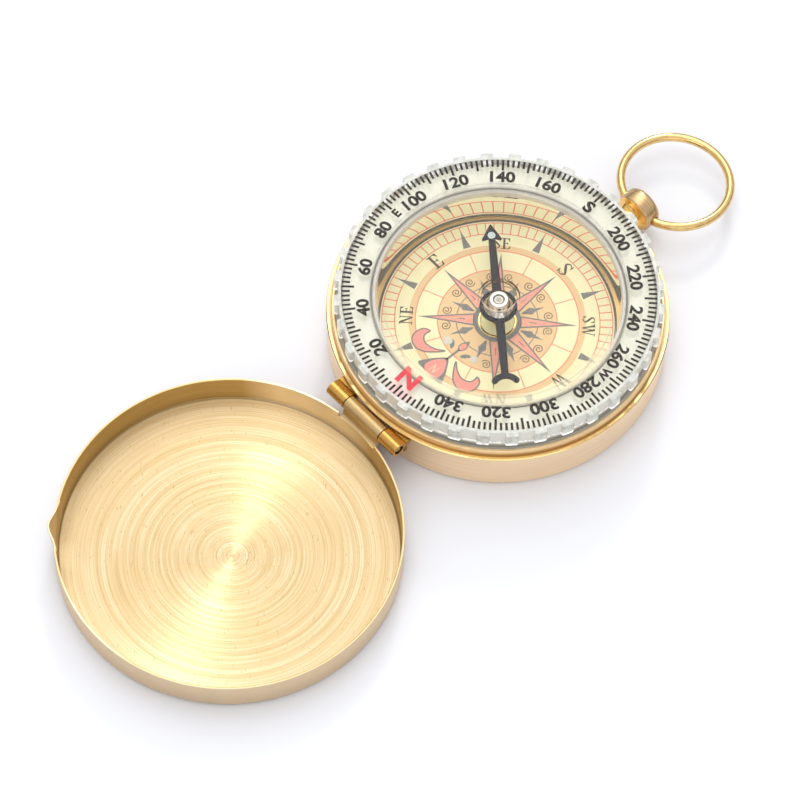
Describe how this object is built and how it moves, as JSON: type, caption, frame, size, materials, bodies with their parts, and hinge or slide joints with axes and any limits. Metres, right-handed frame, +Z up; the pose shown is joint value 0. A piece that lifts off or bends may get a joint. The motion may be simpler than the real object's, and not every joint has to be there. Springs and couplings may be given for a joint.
{
  "type": "geology compass",
  "caption": "Pocket-watch style brass compass: hinged flip lid, turning degree bezel, free needle over a compass-rose dial, crown with bow ring.",
  "frame": {"origin": "centre of the case's flat bottom face", "axes": "+Z up through the dial and window; +X from the hinge to the crown and bow ring; the open lid lies on the -X side"},
  "size_m": [0.1177, 0.048, 0.012],
  "materials": {
    "brushed_brass": "fine brushed, matt",
    "turned_brass": "fine concentric turning marks",
    "bright_brass": "polished",
    "plate_brass": "plain stamped",
    "felt": "thin pressed felt",
    "housing_plastic": "moulded",
    "dial_print": "printed card, satin",
    "luminous_yellow": "matt luminous paint",
    "luminous_white": "matt luminous paint",
    "steel": "drawn wire",
    "black_steel": "satin black paint",
    "nickel": "bright nickel plate",
    "jewel": "polished",
    "clear_window": "clear moulded acrylic",
    "clear_wall": "clear moulded acrylic",
    "clear_bezel": "clear moulded acrylic",
    "silvered_scale": "silvered backing with a printed degree scale",
    "rubber": "soft"
  },
  "bodies": {
    "case": {"base_case": "brushed_brass", "case_collar": "bright_brass", "base_pad": "felt", "capsule_housing": "housing_plastic", "dial_plate": "plate_brass", "dial_card": "dial_print", "hub_ferrule": "bright_brass", "hub_disc": "luminous_yellow", "pivot_post": "plate_brass", "pivot_pin": "steel", "capsule_wall": "clear_wall", "window": "clear_window", "bezel_friction_ring": "rubber", "case_hinge_leaf": "bright_brass", "hinge_pin": "steel", "crown": "bright_brass", "crown_screw": "steel"},
    "bezel": {"bezel_ring": "clear_bezel", "bezel_scale_ring": "silvered_scale"},
    "needle": {"needle": "black_steel", "needle_cap": "nickel", "needle_jewel": "jewel", "needle_luminous_dot": "luminous_white"},
    "lid": {"lid": "turned_brass", "lid_hinge_leaf": "brushed_brass"},
    "bow": {"bow_ring": "bright_brass"}
  },
  "joints": [
    {"name": "lid_hinge", "type": "hinge", "parent": "case", "child": "lid", "pos_m": [-0.02505, 0, 0.00635], "axis": [0, 1, 0], "range_deg": [0, 180]},
    {"name": "bezel_turn", "type": "hinge", "parent": "case", "child": "bezel", "pos_m": [0, 0, 0.0115], "axis": [0, 0, 1], "continuous": true},
    {"name": "needle_spin", "type": "hinge", "parent": "case", "child": "needle", "pos_m": [0, 0, 0.0082], "axis": [0, 0, 1], "continuous": true},
    {"name": "bow_swing", "type": "hinge", "parent": "case", "child": "bow", "pos_m": [0.02802, 0, 0.0041], "axis": [0, -1, 0], "range_deg": [-80, 95]}
  ]
}
